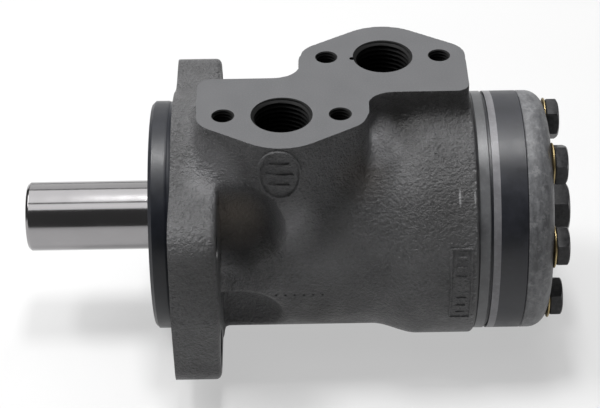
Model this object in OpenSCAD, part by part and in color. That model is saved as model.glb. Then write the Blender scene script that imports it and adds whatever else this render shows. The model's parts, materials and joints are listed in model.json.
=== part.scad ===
// Low-speed orbital hydraulic motor with a roller rotor set.
// Origin: centre of the mounting face, on the shaft axis.
// +X runs along the axis towards the end cover, the shaft points along -X, and +Z leaves the port face.

/* [Axial stack] */
// Length of the shaft in front of the mounting face
shaft_reach = 54; // [50:0.5:58]
// Length of the locating spigot in front of the mounting face
pilot_len = 8; // [7:0.5:9]
// Thickness of the mounting flange
flange_t = 16.5; // [15:0.5:18]
// Distance from the mounting face to the rear face of the housing
housing_len = 106; // [105:0.5:108]
// Thickness of the spacer plate
plate_t = 4; // [3.5:0.5:5]
// Thickness of the roller ring
ring_t = 13; // [12:0.5:16]
// Thickness of the end cover
cover_t = 9.4; // [9:0.1:12]

/* [Housing] */
// Diameter of the locating spigot
pilot_d = 82.5; // [82:0.5:83]
// Radius of the cast body behind the flange
waist_r = 40.75; // [40:0.25:42]
// Radius of the barrel at the rear of the housing
barrel_r = 44.5; // [44:0.25:46]
// Height of the port face above the shaft axis
port_face_z = 55; // [54:0.5:57]
// Diameter of the bore that the valve spool runs in
bore_d = 38; // [37.5:0.5:38.5]

/* [Mounting flange] */
// Distance between the flange bolts across the motor
flange_gap_y = 96; // [94:0.5:98]
// Distance between the flange bolts up the motor
flange_gap_z = 46; // [44:0.5:50]
// Diameter of the flange bolt holes
flange_hole_d = 13.5; // [11:0.5:14]
// Corner radius of the flange around each bolt hole
flange_ear_r = 11; // [10:0.5:13]
// Half width of the flange at the height of the shaft
flange_side_y = 62; // [61:0.5:64]

/* [Ports] */
// Distance of each port from the middle of the port face, along the axis
port_dx = 18; // [17:0.5:19]
// Distance of each port from the middle of the port face, across the axis
port_dy = 18; // [17:0.5:19]
// Radius of the raised oval around each port
port_boss_r = 20; // [19:0.5:21]
// Diameter of the port thread at its crests
port_bore_d = 18.6; // [18:0.1:19]
// Depth of the port thread
port_depth = 16; // [14:0.5:17]
// Distance between the two manifold bolts of one port
manifold_gap = 40; // [38:0.5:42]
// Tapping diameter of the manifold bolt holes
manifold_hole_d = 6.8; // [6.6:0.1:7]

/* [Rotor set] */
// Number of rollers in the ring
roller_count = 7; // [7:1:7]
// Radius of one roller
roller_r = 6; // [5.9:0.05:6.1]
// Radius of the circle of roller centres
roller_circle_r = 26.5; // [26.4:0.05:26.6]
// Offset of the rotor axis from the shaft axis
eccentricity = 2.75; // [2.7:0.05:2.8]
// Gap between the rotor and the rollers
mesh_gap = 0.12; // [0.08:0.01:0.2]
// Outer radius of the ring and the spacer plate
stack_r = 43; // [42.5:0.25:43.5]

/* [Cover bolts] */
// Radius of the circle of cover bolts
bolt_circle_r = 32.7; // [32.5:0.1:33]
// Diameter of the cover bolts
bolt_d = 8; // [7.5:0.5:8]
// Width across flats of the bolt heads
bolt_flats = 13; // [12:0.5:14]
// Height of the bolt heads
bolt_head_h = 4.9; // [4.5:0.1:5.5]
// Thickness of the washers
washer_t = 0.6; // [0.5:0.1:1.2]

/* [Shaft] */
// Diameter of the shaft end
shaft_d = 25; // [24:0.5:25]
// Width of the keyway
key_w = 8; // [7:0.5:8]
// Length of the keyway
key_len = 32; // [28:1:36]
// Depth of the keyway
key_depth = 4; // [3.5:0.5:4.5]
// Direction that the keyway faces, as an angle about the axis
key_angle = -37; // [-90:1:0]

/* [Hidden] */
$fn = 96;
eps = 0.01;
running_gap = 0.03;

// Stations along the axis
plate_x = housing_len;
ring_x = plate_x + plate_t;
cover_x = ring_x + ring_t;
cover_end = cover_x + cover_t;
bore_r = bore_d / 2;
bore_start = 12;
spool_start = bore_start + 6;
spool_end = housing_len - 14;
seal_pocket_r = 18;
seal_pocket_end = 5;
journal_r = 14;
journal_start = -9.5;
dust_seal_end = -3.6;

// Port block
port_mid_x = 56.7;
lug_r = 9.3;
block_left = port_mid_x - port_dx - manifold_gap / 2 - lug_r;
block_step_y = 5;
block_corner_r = 4.5;
port_drill_r = 4;
port_drill_z = 8.5;
channel_w = 9;
channel_r = bore_r + 2.4;

// Hollows behind the flange ears
scoop_axis_r = 50;
scoop_r = 18;
scoop_end = 23;

// Passages from the valve to the rotor set
passage_r = 2.2;
passage_circle_r = 25;
passage_start = 54;
feed_x = passage_start + passage_r + 1;

// Rotor set and drive
lobe_count = roller_count - 1;
roller_step = 360 / roller_count;
first_roller = 90;
first_bolt = first_roller + 180;
cavity_r = 26.3;
pocket_r = roller_r + 0.06;
rotor_side_gap = 0.05;
rotor_steps = 240;
root_bias = 0.75;
rotor_z = -eccentricity;
spline_teeth = 12;
spline_tip_r = 12;
spline_core_r = 9.9;
spline_tooth_w = 2.5;
spline_gap = 0.35;
spline_len = 9;
drive_front_x = 65.5;
drive_rear_x = ring_x + ring_t / 2;
drive_tilt = atan(eccentricity / (drive_rear_x - drive_front_x));
drive_waist_r = 8.2;
spool_bore_r = 14.2;

// Seal rings between the stacked plates
oring_r = 38.9;
oring_section_r = 0.92;
oring_groove_w = 2.4;
oring_groove_d = 1.9;

// Thrust bearing between the housing and the spool
race_t = 1.5;
race_in_r = 14.2;
race_out_r = bore_r - 0.1;
needle_count = 20;
needle_r = 1.4;
needle_in = 14.9;
needle_out = 18.1;

// Check valves at the rear of the housing
valve_angles = [first_roller - roller_step, first_roller + roller_step];
valve_circle_r = 33;
valve_bore_r = 3.8;
valve_start = 92;
ball_r = 3.5;
ball_x = 98.5;
seat_x = 102.3;

// Plug in the middle of the cover
plug_flats = 17;
plug_head_h = 8.6;
plug_seal_t = 1;
plug_shank_r = 6.48;
plug_hole_r = 6.5;
plug_hole_depth = 7.5;

// Solid of revolution about X from [x, radius] points
module turned(points) {
    rotate([0, 90, 0]) rotate_extrude() polygon([for (p = points) [p[1], p[0]]]);
}

module rod(x0, x1, r) {
    translate([x0, 0, 0]) rotate([0, 90, 0]) cylinder(h = x1 - x0, r = r);
}

module ring(x0, x1, inner, outer) {
    difference() {
        rod(x0, x1, outer);
        rod(x0 - 1, x1 + 1, inner);
    }
}

// A YZ outline extruded along X
module slab(x0, x1) {
    translate([x0, 0, 0]) rotate([90, 0, 90]) linear_extrude(x1 - x0) children();
}

// Moves children off the axis to a radius, at an angle about X from +Y towards +Z
module polar(r, angle) {
    translate([0, r * cos(angle), r * sin(angle)]) children();
}

module around_bolts() {
    for (k = [0:roller_count - 1]) polar(bolt_circle_r, first_bolt + k * roller_step) children();
}

module hexagon(x0, x1, flats, chamfer) {
    intersection() {
        translate([x0, 0, 0]) rotate([0, 90, 0]) cylinder(h = x1 - x0, r = flats / sqrt(3), $fn = 6);
        turned([[x0, 0], [x0, flats], [x1 - flats + flats / 2 + chamfer, flats],
                [x1, flats / 2 - chamfer / 2], [x1, 0]]);
    }
}

// Mounting flange: four ears, bulged sides and a round centre
module flange_body() {
    edge = 2;
    hull() {
        for (sy = [-1, 1], sz = [-1, 1]) translate([0, sy * flange_gap_y / 2, sz * flange_gap_z / 2]) {
            rod(0, flange_t - edge, flange_ear_r, $fn = 32);
            rod(0, flange_t, flange_ear_r - edge, $fn = 32);
        }
        for (sy = [-1, 1]) translate([0, sy * (flange_side_y - 16), 0]) {
            rod(0, flange_t - edge, 16, $fn = 32);
            rod(0, flange_t, 16 - edge, $fn = 32);
        }
    }
    turned([[0, 0], [0, barrel_r], [flange_t - edge, barrel_r], [flange_t, barrel_r - edge], [flange_t, 0]]);
}

// Oval around one port: a disc, two lugs and the straight sides that join them
module port_oval() {
    half_gap = manifold_gap / 2;
    touch = acos((port_boss_r - lug_r) / half_gap);
    circle(r = port_boss_r);
    for (side = [-1, 1]) translate([side * half_gap, 0]) circle(r = lug_r);
    polygon([for (q = [[1, 1], [-1, 1], [-1, -1], [1, -1]], far = [0, 1])
        let (lug = (q[0] * q[1] > 0) ? 1 - far : far, r = lug == 1 ? lug_r : port_boss_r)
        [q[0] * (lug * half_gap + r * cos(touch)), q[1] * r * sin(touch)]]);
}

// One half of the port face: the oval and the squared corner beside it
module port_half() {
    translate([-port_dx, -port_dy]) port_oval();
    left = block_left - port_mid_x;
    translate([left, -port_dy]) square([-left, port_dy + block_step_y - block_corner_r]);
    translate([left + block_corner_r, -port_dy]) square([-left - block_corner_r, port_dy + block_step_y]);
    translate([left + block_corner_r, block_step_y - block_corner_r]) circle(r = block_corner_r);
}

module port_block() {
    neck = port_dx - manifold_gap / 2 + lug_r + 3;
    translate([port_mid_x, 0, 6]) linear_extrude(port_face_z - 6) {
        for (turn = [0, 180]) rotate(turn) port_half();
        translate([-neck, -port_dy]) square([2 * neck, 2 * port_dy]);
    }
}

// One port with its thread bore, mouth chamfer and drilling down to the valve channel
module port_cut() {
    mouth_r = port_bore_d / 2 + 1.6;
    translate([0, 0, port_face_z - port_depth]) cylinder(h = port_depth + 1, d = port_bore_d);
    translate([0, 0, port_face_z - 1.6]) cylinder(h = 1.6 + eps, r1 = port_bore_d / 2, r2 = mouth_r);
    translate([0, 0, port_drill_z]) cylinder(h = port_face_z - port_drill_z, r = port_drill_r);
    for (side = [-1, 1]) translate([side * manifold_gap / 2, 0, port_face_z - 14]) {
        cylinder(h = 15, d = manifold_hole_d);
        translate([0, 0, 13.1]) cylinder(h = 0.9 + eps, r1 = manifold_hole_d / 2, r2 = manifold_hole_d / 2 + 0.9);
    }
}

module cast_body() {
    pilot_r = pilot_d / 2;
    turned([[-pilot_len, 0], [-pilot_len, pilot_r - 1.2], [1.2 - pilot_len, pilot_r], [eps, pilot_r], [eps, 0]]);
    flange_body();
    turned([[1, 0], [1, waist_r], [70, waist_r], [86, barrel_r], [housing_len - 0.8, barrel_r],
            [housing_len, barrel_r - 0.8], [housing_len, 0]]);
    port_block();
}

// Round-ended hollows in the body behind the four flange ears, where the bolt heads go
module ear_scoops() {
    for (sy = [-1, 1], sz = [-1, 1]) polar(scoop_axis_r, atan2(sz * flange_gap_z, sy * flange_gap_y))
        turned(concat([[flange_t, 0], [flange_t, scoop_r]],
            [for (a = [90:-10:0]) [scoop_end + scoop_r * cos(a), scoop_r * sin(a)]]));
}

module housing() {
    color("#4b4d4f") difference() {
        cast_body();
        ear_scoops();
        rod(bore_start, housing_len + 1, bore_r);
        rod(0, bore_start + 1, journal_r + 0.25);
        rod(-pilot_len - 1, seal_pocket_end, seal_pocket_r);
        for (side = [-1, 1]) translate([port_mid_x + side * port_dx, 0, 0])
            rod(-channel_w / 2, channel_w / 2, channel_r);
        translate([port_mid_x, 0, 0]) for (turn = [0, 180]) rotate(turn)
            translate([-port_dx, -port_dy, 0]) port_cut();
        for (sy = [-1, 1], sz = [-1, 1]) translate([0, sy * flange_gap_y / 2, sz * flange_gap_z / 2])
            rod(-1, flange_t + 1, flange_hole_d / 2);
        around_bolts() rod(housing_len - 20, housing_len + 1, bolt_d / 2);
        for (k = [0:roller_count - 1]) polar(passage_circle_r, first_bolt + k * roller_step)
            rod(passage_start, housing_len + 1, passage_r);
        for (k = [0:roller_count - 1]) rotate([first_bolt + k * roller_step, 0, 0])
            translate([feed_x, bore_r - 1, 0]) rotate([-90, 0, 0])
                cylinder(h = passage_circle_r - bore_r + 1, r = passage_r);
        for (a = valve_angles) polar(valve_circle_r, a) rod(valve_start, housing_len + 1, valve_bore_r);
        ring(housing_len - oring_groove_d, housing_len + 1, oring_r - oring_groove_w / 2,
             oring_r + oring_groove_w / 2);
    }
}

// Twelve straight teeth as a YZ outline
module spline_outline(core_r, tip_r, tooth_w) {
    circle(r = core_r);
    for (k = [0:spline_teeth - 1]) rotate(k * 360 / spline_teeth)
        translate([0, -tooth_w / 2]) square([tip_r, tooth_w]);
}

module spline_socket(x0, x1) {
    slab(x0, x1) spline_outline(spline_core_r + 0.5, spline_tip_r + 0.5, spline_tooth_w + 2 * spline_gap);
}

module output_shaft() {
    shaft_r = shaft_d / 2;
    socket_start = drive_front_x - spline_len / 2 - 2;
    socket_end = drive_front_x + spline_len / 2 + 1.5;
    spool_r = bore_r - running_gap;
    color("silver") difference() {
        union() {
            turned([[-shaft_reach, 0], [-shaft_reach, shaft_r - 1.8], [1.8 - shaft_reach, shaft_r],
                    [journal_start, shaft_r], [journal_start + 1, journal_r], [spool_start, journal_r],
                    [spool_start, 0]]);
            turned([[spool_start, 0], [spool_start, spool_r], [spool_end, spool_r], [spool_end, 0]]);
        }
        rod(socket_end - 1, spool_end + 1, spool_bore_r);
        spline_socket(socket_start, socket_end);
        for (side = [-1, 1]) translate([port_mid_x + side * port_dx, 0, 0])
            ring(-channel_w / 2, channel_w / 2, spool_r - 2, spool_r + 1);
        for (k = [0:2 * lobe_count - 1]) rotate([k * 180 / lobe_count, 0, 0])
            translate([port_mid_x + (k % 2 == 0 ? -port_dx : 0), spool_r - 1.5, -1.6])
                cube([port_dx, 3, 3.2]);
        rod(-shaft_reach - 1, 16 - shaft_reach, 3.4);
        rotate([key_angle, 0, 0]) keyway();
    }
}

// Slot with round ends for a parallel key, facing +Y
module keyway() {
    start = 4 - shaft_reach;
    translate([0, shaft_d / 2 - key_depth, 0]) rotate([-90, 0, 0]) linear_extrude(2 * key_depth) {
        translate([start + key_w / 2, -key_w / 2]) square([key_len - key_w, key_w]);
        for (x = [start + key_w / 2, start + key_len - key_w / 2]) translate([x, 0]) circle(d = key_w);
    }
}

module dust_seal() {
    color("#1d1d1f") ring(-pilot_len + 0.6, dust_seal_end, journal_r + 0.08, seal_pocket_r);
}

module shaft_seal() {
    color("#232325") ring(-2, 3.4, journal_r + 0.08, seal_pocket_r);
}

module seal_backup_ring() {
    color("#c8c4b4") ring(3.4, seal_pocket_end, journal_r + 0.3, seal_pocket_r);
}

module thrust_race_front() {
    color("lightgray") ring(bore_start, bore_start + race_t, race_in_r, race_out_r + 0.1);
}

module thrust_race_rear() {
    color("lightgray") ring(spool_start - race_t, spool_start, race_in_r - 0.2, race_out_r);
}

module needle_slots(clear) {
    mid = (bore_start + spool_start) / 2;
    for (k = [0:needle_count - 1]) rotate([k * 360 / needle_count, 0, 0])
        translate([mid, needle_in - clear, 0]) rotate([-90, 0, 0])
            cylinder(h = needle_out - needle_in + 2 * clear, r = needle_r + clear, $fn = 24);
}

module needle_cage() {
    mid = (bore_start + spool_start) / 2;
    color("#b9a36a") difference() {
        ring(mid - 0.8, mid + 0.8, race_in_r + 0.3, race_out_r - 0.3);
        needle_slots(0.05);
    }
}

module thrust_needles() {
    color("silver") needle_slots(0);
}

module cardan_end() {
    intersection() {
        slab(-spline_len / 2, spline_len / 2)
            spline_outline(spline_core_r, spline_tip_r, spline_tooth_w);
        turned([[-spline_len / 2, 0], [-spline_len / 2, spline_tip_r - 0.6], [-1.5, spline_tip_r],
                [1.5, spline_tip_r], [spline_len / 2, spline_tip_r - 0.6], [spline_len / 2, 0]]);
    }
}

module cardan_shaft() {
    span = (drive_rear_x - drive_front_x) / cos(drive_tilt);
    color("#9a9da1") translate([drive_front_x, 0, 0]) rotate([0, drive_tilt, 0]) {
        cardan_end();
        translate([span, 0, 0]) cardan_end();
        turned([[spline_len / 2 - eps, 0], [spline_len / 2 - eps, spline_core_r - 0.3],
                [spline_len / 2 + 3, drive_waist_r], [span - spline_len / 2 - 3, drive_waist_r],
                [span - spline_len / 2 + eps, spline_core_r - 0.3], [span - spline_len / 2 + eps, 0]]);
    }
}

module spacer_plate() {
    color("#77797b") difference() {
        rod(plate_x, ring_x, stack_r);
        rod(plate_x - 1, ring_x + 1, spool_bore_r);
        around_bolts() rod(plate_x - 1, ring_x + 1, bolt_d / 2 + 0.2);
        for (k = [0:roller_count - 1]) polar(passage_circle_r - 1.5, first_bolt + k * roller_step)
            rod(plate_x - 1, ring_x + 1, passage_r);
    }
}

module geroler_ring() {
    color("#2f3133") difference() {
        rod(ring_x, cover_x, stack_r);
        rod(ring_x - 1, cover_x + 1, cavity_r);
        for (k = [0:roller_count - 1]) polar(roller_circle_r, first_roller + k * roller_step)
            rod(ring_x - 1, cover_x + 1, pocket_r);
        around_bolts() rod(ring_x - 1, cover_x + 1, bolt_d / 2 + 0.2);
        ring(ring_x - 1, ring_x + oring_groove_d, oring_r - oring_groove_w / 2, oring_r + oring_groove_w / 2);
        ring(cover_x - oring_groove_d, cover_x + 1, oring_r - oring_groove_w / 2,
             oring_r + oring_groove_w / 2);
    }
}

module roller(k) {
    color("gainsboro") polar(roller_circle_r, first_roller + (k - 1) * roller_step)
        rod(ring_x + rotor_side_gap, cover_x - rotor_side_gap, roller_r);
}

// Rotor outline: the path of the roller centres about the rotor, moved in by a roller radius
function rotor_point(u) =
    let (n = roller_count,
         path = [roller_circle_r * cos(u) - eccentricity * cos(n * u),
                 roller_circle_r * sin(u) - eccentricity * sin(n * u)],
         along = [-roller_circle_r * sin(u) + n * eccentricity * sin(n * u),
                  roller_circle_r * cos(u) - n * eccentricity * cos(n * u)],
         out = [along[1], -along[0]] / norm(along))
    path - (roller_r + mesh_gap) * out;

// Spreads the outline's points so that they crowd into the tightly curved roots
function rotor_angle(t) = t - root_bias * sin(lobe_count * t) * 180 / PI / lobe_count;

module rotor() {
    color("#8a8d90") difference() {
        translate([0, 0, rotor_z]) slab(ring_x + rotor_side_gap, cover_x - rotor_side_gap)
            polygon([for (i = [0:rotor_steps - 1]) rotor_point(rotor_angle(i * 360 / rotor_steps))]);
        translate([0, 0, rotor_z]) spline_socket(ring_x - 1, cover_x + 1);
    }
}

module drive_spacer() {
    color("silver") translate([0, 0, rotor_z]) rod(cover_x - 1.2, cover_x - 0.1, 8);
}

module end_cover() {
    round_r = 6.5;
    color("#6d6f71") difference() {
        turned(concat([[cover_x, 0], [cover_x, stack_r]],
            [for (a = [0:10:90]) [cover_end - round_r + round_r * sin(a), stack_r - round_r + round_r * cos(a)]],
            [[cover_end, 0]]));
        around_bolts() rod(cover_x - 1, cover_end + 1, bolt_d / 2 + 0.2);
        rod(cover_end - plug_hole_depth, cover_end + 1, plug_hole_r);
    }
}

module cover_bolts() {
    head_x = cover_end + washer_t;
    color("#1f2022") around_bolts() {
        rod(housing_len - 18, head_x + eps, bolt_d / 2);
        hexagon(head_x, head_x + bolt_head_h, bolt_flats, 0.8);
    }
}

module cover_washers() {
    color("#a88a4a") around_bolts() ring(cover_end, cover_end + washer_t, bolt_d / 2 + 0.2, bolt_flats / 2 + 1.2);
}

module centre_plug() {
    head_x = cover_end + plug_seal_t;
    color("#242527") {
        rod(cover_end - plug_hole_depth + 1, head_x + eps, plug_shank_r);
        hexagon(head_x, head_x + plug_head_h, plug_flats, 0.9);
    }
}

module plug_seal() {
    color("#a88a4a") ring(cover_end, cover_end + plug_seal_t, plug_shank_r + 0.1, plug_flats / 2 + 1.8);
}

module oring(x) {
    color("#151515") translate([x, 0, 0]) rotate([0, 90, 0]) rotate_extrude()
        translate([oring_r, 0]) circle(r = oring_section_r, $fn = 24);
}

module check_ball(angle) {
    color("silver") polar(valve_circle_r, angle) translate([ball_x, 0, 0]) sphere(r = ball_r, $fn = 48);
}

module check_seat(angle) {
    color("#8d8f92") polar(valve_circle_r, angle) ring(seat_x, housing_len, 2.2, valve_bore_r);
}

housing();
output_shaft();
dust_seal();
shaft_seal();
seal_backup_ring();
thrust_race_front();
thrust_race_rear();
needle_cage();
thrust_needles();
cardan_shaft();
spacer_plate();
geroler_ring();
rotor();
drive_spacer();
end_cover();
cover_bolts();
cover_washers();
centre_plug();
plug_seal();
oring(housing_len - oring_groove_d / 2);  // plate_oring
oring(ring_x + oring_groove_d / 2);  // ring_oring
oring(cover_x - oring_groove_d / 2);  // cover_oring
check_ball(valve_angles[0]);  // check_ball_left
check_ball(valve_angles[1]);  // check_ball_right
check_seat(valve_angles[0]);  // check_seat_left
check_seat(valve_angles[1]);  // check_seat_right
for (k = [1:roller_count]) roller(k);
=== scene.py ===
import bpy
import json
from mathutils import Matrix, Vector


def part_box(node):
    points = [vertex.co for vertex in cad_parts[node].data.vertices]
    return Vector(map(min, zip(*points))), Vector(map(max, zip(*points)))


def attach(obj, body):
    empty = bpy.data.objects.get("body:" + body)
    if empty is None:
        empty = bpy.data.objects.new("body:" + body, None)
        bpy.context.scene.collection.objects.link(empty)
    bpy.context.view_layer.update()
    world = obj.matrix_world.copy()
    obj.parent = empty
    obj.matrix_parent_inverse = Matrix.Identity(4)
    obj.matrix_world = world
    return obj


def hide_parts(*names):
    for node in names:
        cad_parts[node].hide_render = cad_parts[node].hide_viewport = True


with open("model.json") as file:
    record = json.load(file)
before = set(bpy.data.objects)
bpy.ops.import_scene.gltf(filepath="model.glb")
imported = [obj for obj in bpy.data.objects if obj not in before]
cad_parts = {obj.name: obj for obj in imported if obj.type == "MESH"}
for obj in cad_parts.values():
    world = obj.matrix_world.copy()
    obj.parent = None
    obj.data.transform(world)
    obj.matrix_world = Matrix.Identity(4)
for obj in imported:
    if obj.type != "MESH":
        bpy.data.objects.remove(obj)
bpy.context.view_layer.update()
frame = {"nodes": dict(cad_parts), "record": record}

import json
import math

import bmesh
import bpy
import numpy as np
from mathutils import Matrix, Vector

# Every length below is in millimetres. Meshes are scaled to metres when they are made.
MM = 0.001
TURN = 2 * math.pi


def span(node):
    """Lowest and highest corner of a CAD node, in millimetres."""
    low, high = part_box(node)
    return low / MM, high / MM


def mount(name):
    return next(m for m in frame["record"]["mounts"] if m["name"] == name)


# Driving sizes, read from the frame
housing_low, housing_high = span("housing")
shaft_low, shaft_high = span("output_shaft")
plate_low, plate_high = span("spacer_plate")
ring_low, ring_high = span("geroler_ring")
cover_low, cover_high = span("end_cover")
PILOT_START = housing_low.x
REAR_FACE = housing_high.x
PORT_FACE = housing_high.z
FLANGE_SIDE = housing_high.y
BARREL_R = -housing_low.z
PILOT_R = mount("pilot")["dims"]["r_mm"]
SHAFT_R = mount("output_shaft")["dims"]["r_mm"]
STACK_R = ring_high.y
FLANGE_BOLT_Y = mount("flange_bolts")["dims"]["spacing_x_mm"] / 2
FLANGE_BOLT_Z = mount("flange_bolts")["dims"]["spacing_y_mm"] / 2
FLANGE_HOLE_R = mount("flange_bolts")["dims"]["hole_r_mm"]
PORTS = [Vector(mount(name)["pos_m"]) / MM for name in ("port_front", "port_rear")]
PORT_R = mount("port_front")["dims"]["r_mm"]
MANIFOLD_GAP = mount("manifold_bolts_front")["dims"]["spacing_x_mm"]
MANIFOLD_R = mount("manifold_bolts_front")["dims"]["hole_r_mm"]

# Housing: flange, waist, barrel, port block, hollows and ridge
FLANGE_T = 16.5
EAR_R = 11.0
SIDE_R = 16.0
WAIST_R = 40.75
CONE_START = 70.0
CONE_END = 86.0
LUG_R = 9.3
BOSS_R = 20.0
BLOCK_STEP = 5.0
BLOCK_CORNER_R = 4.5
NECK = 11.2
NECK_FILLET = 11.0
PORT_MID = (PORTS[0] + PORTS[1]) / 2
BLOCK_LEFT = PORTS[0].x - MANIFOLD_GAP / 2 - LUG_R
SCOOP_AXIS_R = 50.0
SCOOP_R = 18.0
SCOOP_END = 23.0
RIDGE_X = 73.5
RIDGE_WIDTH = 4.6
RIDGE_HEIGHT = 3.0
RIDGE_ANGLE = 100
TROUGH_OFFSET = 8.0
TROUGH_WIDTH = 3.4
TROUGH_DEPTH = 1.1

# Housing: bore, valve channels and threads
BORE_R = 19.0
BORE_START = 12.0
JOURNAL_HOLE_R = 14.25
SEAL_POCKET_R = 18.0
SEAL_POCKET_END = 5.0
CHANNEL_R = BORE_R + 2.4
CHANNEL_W = 9.0
PORT_DEPTH = 16.0
PORT_PITCH = 1.814
PORT_DRILL_R = 4.0
PORT_DRILL_START = 8.5
MANIFOLD_DEPTH = 14.0
M8_PITCH = 1.25
M8_MINOR_R = 3.4
M8_MAJOR_R = 4.0

# Shaft and spool
JOURNAL_R = 14.0
SPOOL_START = 18.0
SPOOL_R = BORE_R - 0.03
SPOOL_HOLLOW_R = 14.2
SPOOL_CHANNEL_BOTTOM = 16.9
SLOT_COUNT = 12
SLOT_HALF_WIDTH = 1.6
SLOT_DEPTH = 1.5
KEY_WIDTH = 8.0
KEY_LENGTH = 32.0
KEY_DEPTH = 4.0
KEY_ANGLE = math.radians(-37)
END_THREAD_DEPTH = 16.0

# Rollers, and the bolts between them
ROLLER_R = 6.0
ROLLER_CIRCLE_R = 26.5
FIRST_ROLLER = math.radians(90)
BOLT_COUNT = 7
FIRST_BOLT = math.radians(270)
BOLT_CIRCLE_R = 32.7
BOLT_R = 4.0
BOLT_HOLE_R = BOLT_R + 0.2
BOLT_FLATS = 13.0
BOLT_TILTS = (8, 21, 33, 42, 1.5, 55, 53)
PLUG_FLATS = 17.0
PLUG_TILT = 46

# Cell size of the cast surface's mesh
GRID = 0.92


# ---------------------------------------------------------------- mesh tools
def make_object(name, verts, faces):
    mesh = bpy.data.meshes.new(name)
    mesh.from_pydata([tuple(v) for v in np.asarray(verts, float) * MM], [], [tuple(f) for f in faces])
    mesh.update()
    obj = bpy.data.objects.new(name, mesh)
    bpy.context.scene.collection.objects.link(obj)
    return obj


def grid_faces(rows, columns, closed_rows=False):
    """Quads over a grid of points stored row after row. Each row is a closed loop."""
    faces = []
    for i in range(rows if closed_rows else rows - 1):
        for j in range(columns):
            a = i * columns + j
            b = i * columns + (j + 1) % columns
            c = ((i + 1) % rows) * columns + (j + 1) % columns
            d = ((i + 1) % rows) * columns + j
            faces.append((a, b, c, d))
    return faces


def arc(cx, cr, radius, start, end, steps):
    """Points of an arc in the (x, r) plane, with angles in degrees from +x towards +r."""
    angles = [math.radians(start + (end - start) * i / steps) for i in range(steps + 1)]
    return [(cx + radius * math.cos(a), cr + radius * math.sin(a)) for a in angles]


def cap_faces(row, tip, steps, first):
    """A fan that closes a row of verts with a tip on the axis, at the first or the last end."""
    pairs = [(row + j, row + (j + 1) % steps) for j in range(steps)]
    return [(tip, b, a) if first else (tip, a, b) for a, b in pairs]


def lathe_shape(profile, steps=128, y=0.0, z=0.0, closed=False):
    """Verts and faces of a turned solid. An open profile starts and ends on the axis, and a closed one is a ring."""
    on_axis = [] if closed else [profile[0], profile[-1]]
    rim = profile if closed else profile[1:-1]
    verts = [(x, y + r * math.cos(TURN * j / steps), z + r * math.sin(TURN * j / steps))
             for x, r in rim for j in range(steps)]
    faces = grid_faces(len(rim), steps, closed_rows=closed)
    for end, (x, _) in enumerate(on_axis):
        verts.append((x, y, z))
        faces += cap_faces(end * (len(rim) - 1) * steps, len(verts) - 1, steps, end == 0)
    return verts, faces


def join_shapes(shapes):
    verts, faces = [], []
    for more_verts, more_faces in shapes:
        base = len(verts)
        verts.extend(more_verts)
        faces.extend(tuple(base + i for i in f) for f in more_faces)
    return verts, faces


def turn_shape(shape, place):
    """A shape's verts sent through the function place."""
    verts, faces = shape
    return [place(v) for v in verts], faces


def box_shape(low, high):
    verts = [(x, y, z) for x in (low[0], high[0]) for y in (low[1], high[1]) for z in (low[2], high[2])]
    faces = [(0, 1, 3, 2), (4, 6, 7, 5), (0, 4, 5, 1), (2, 3, 7, 6), (0, 2, 6, 4), (1, 5, 7, 3)]
    return verts, faces


def thread_shape(x0, x1, minor, major, pitch, steps, chamfer):
    """A closed threaded plug along X. Its radius follows the helix, fades in at x0 and widens into a mouth at x1."""
    mouth = 1.0
    run_in = 1.5
    rows_per_turn = 8
    crest = 0.42
    rows = int((x1 - x0) / pitch * rows_per_turn) + 1
    verts, faces = [], []
    for i in range(rows + 1):
        x = x0 + (x1 - x0) * i / rows
        fade = min(1.0, max(0.0, (x - x0) / run_in))
        for j in range(steps):
            a = TURN * j / steps
            phase = (x / pitch - a / TURN) % 1.0
            wave = max(0.0, 1 - abs(phase - 0.5) / crest)
            r = minor + (major - minor) * wave * fade
            r = max(r, major + chamfer - (x1 - mouth - x))
            verts.append((x, r * math.cos(a), r * math.sin(a)))
    faces = grid_faces(rows + 1, steps)
    for x, row in ((x0, 0), (x1, rows * steps)):
        verts.append((x, 0.0, 0.0))
        faces += cap_faces(row, len(verts) - 1, steps, row == 0)
    return verts, faces


def outward(obj):
    """Makes every face of a closed mesh point out."""
    work = bmesh.new()
    work.from_mesh(obj.data)
    bmesh.ops.recalc_face_normals(work, faces=work.faces)
    work.to_mesh(obj.data)
    work.free()
    return obj


def combine(obj, shape, operation):
    """Adds a shape to obj, or cuts it away, and applies the result."""
    tool = outward(make_object("tool", *shape))
    modifier = obj.modifiers.new("boolean", "BOOLEAN")
    modifier.operation = operation
    modifier.solver = "MANIFOLD"
    modifier.object = tool
    graph = bpy.context.evaluated_depsgraph_get()
    result = bpy.data.meshes.new_from_object(obj.evaluated_get(graph))
    obj.modifiers.clear()
    old = obj.data
    obj.data = result
    bpy.data.meshes.remove(old)
    bpy.data.objects.remove(tool)
    return obj


def finish_piece(obj, body, slot, materials, *nodes, degrees=32):
    """Gives a piece its materials, smooth faces with edges crisp above an angle, and its place in the frame."""
    obj.data.materials.clear()
    for material in materials:
        obj.data.materials.append(material)
    obj.data.shade_smooth()
    obj.data.set_sharp_from_angle(angle=math.radians(degrees))
    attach(obj, body)
    if nodes:
        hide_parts(*nodes)
    return obj


def polar(radius, angle):
    return radius * math.cos(angle), radius * math.sin(angle)


def barrel_point(x, degrees):
    """A point on the barrel. Its angle runs from +Y towards +Z."""
    return (x, *polar(BARREL_R, math.radians(degrees)))


def bolt_places():
    return [polar(BOLT_CIRCLE_R, FIRST_BOLT + k * TURN / BOLT_COUNT) for k in range(BOLT_COUNT)]


# ---------------------------------------------------------------- distance fields
def smooth_union(a, b, k):
    h = np.clip(0.5 + 0.5 * (b - a) / k, 0, 1)
    return b + (a - b) * h - k * h * (1 - h)


def smooth_cut(a, b, k):
    return -smooth_union(-a, b, k)


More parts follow.
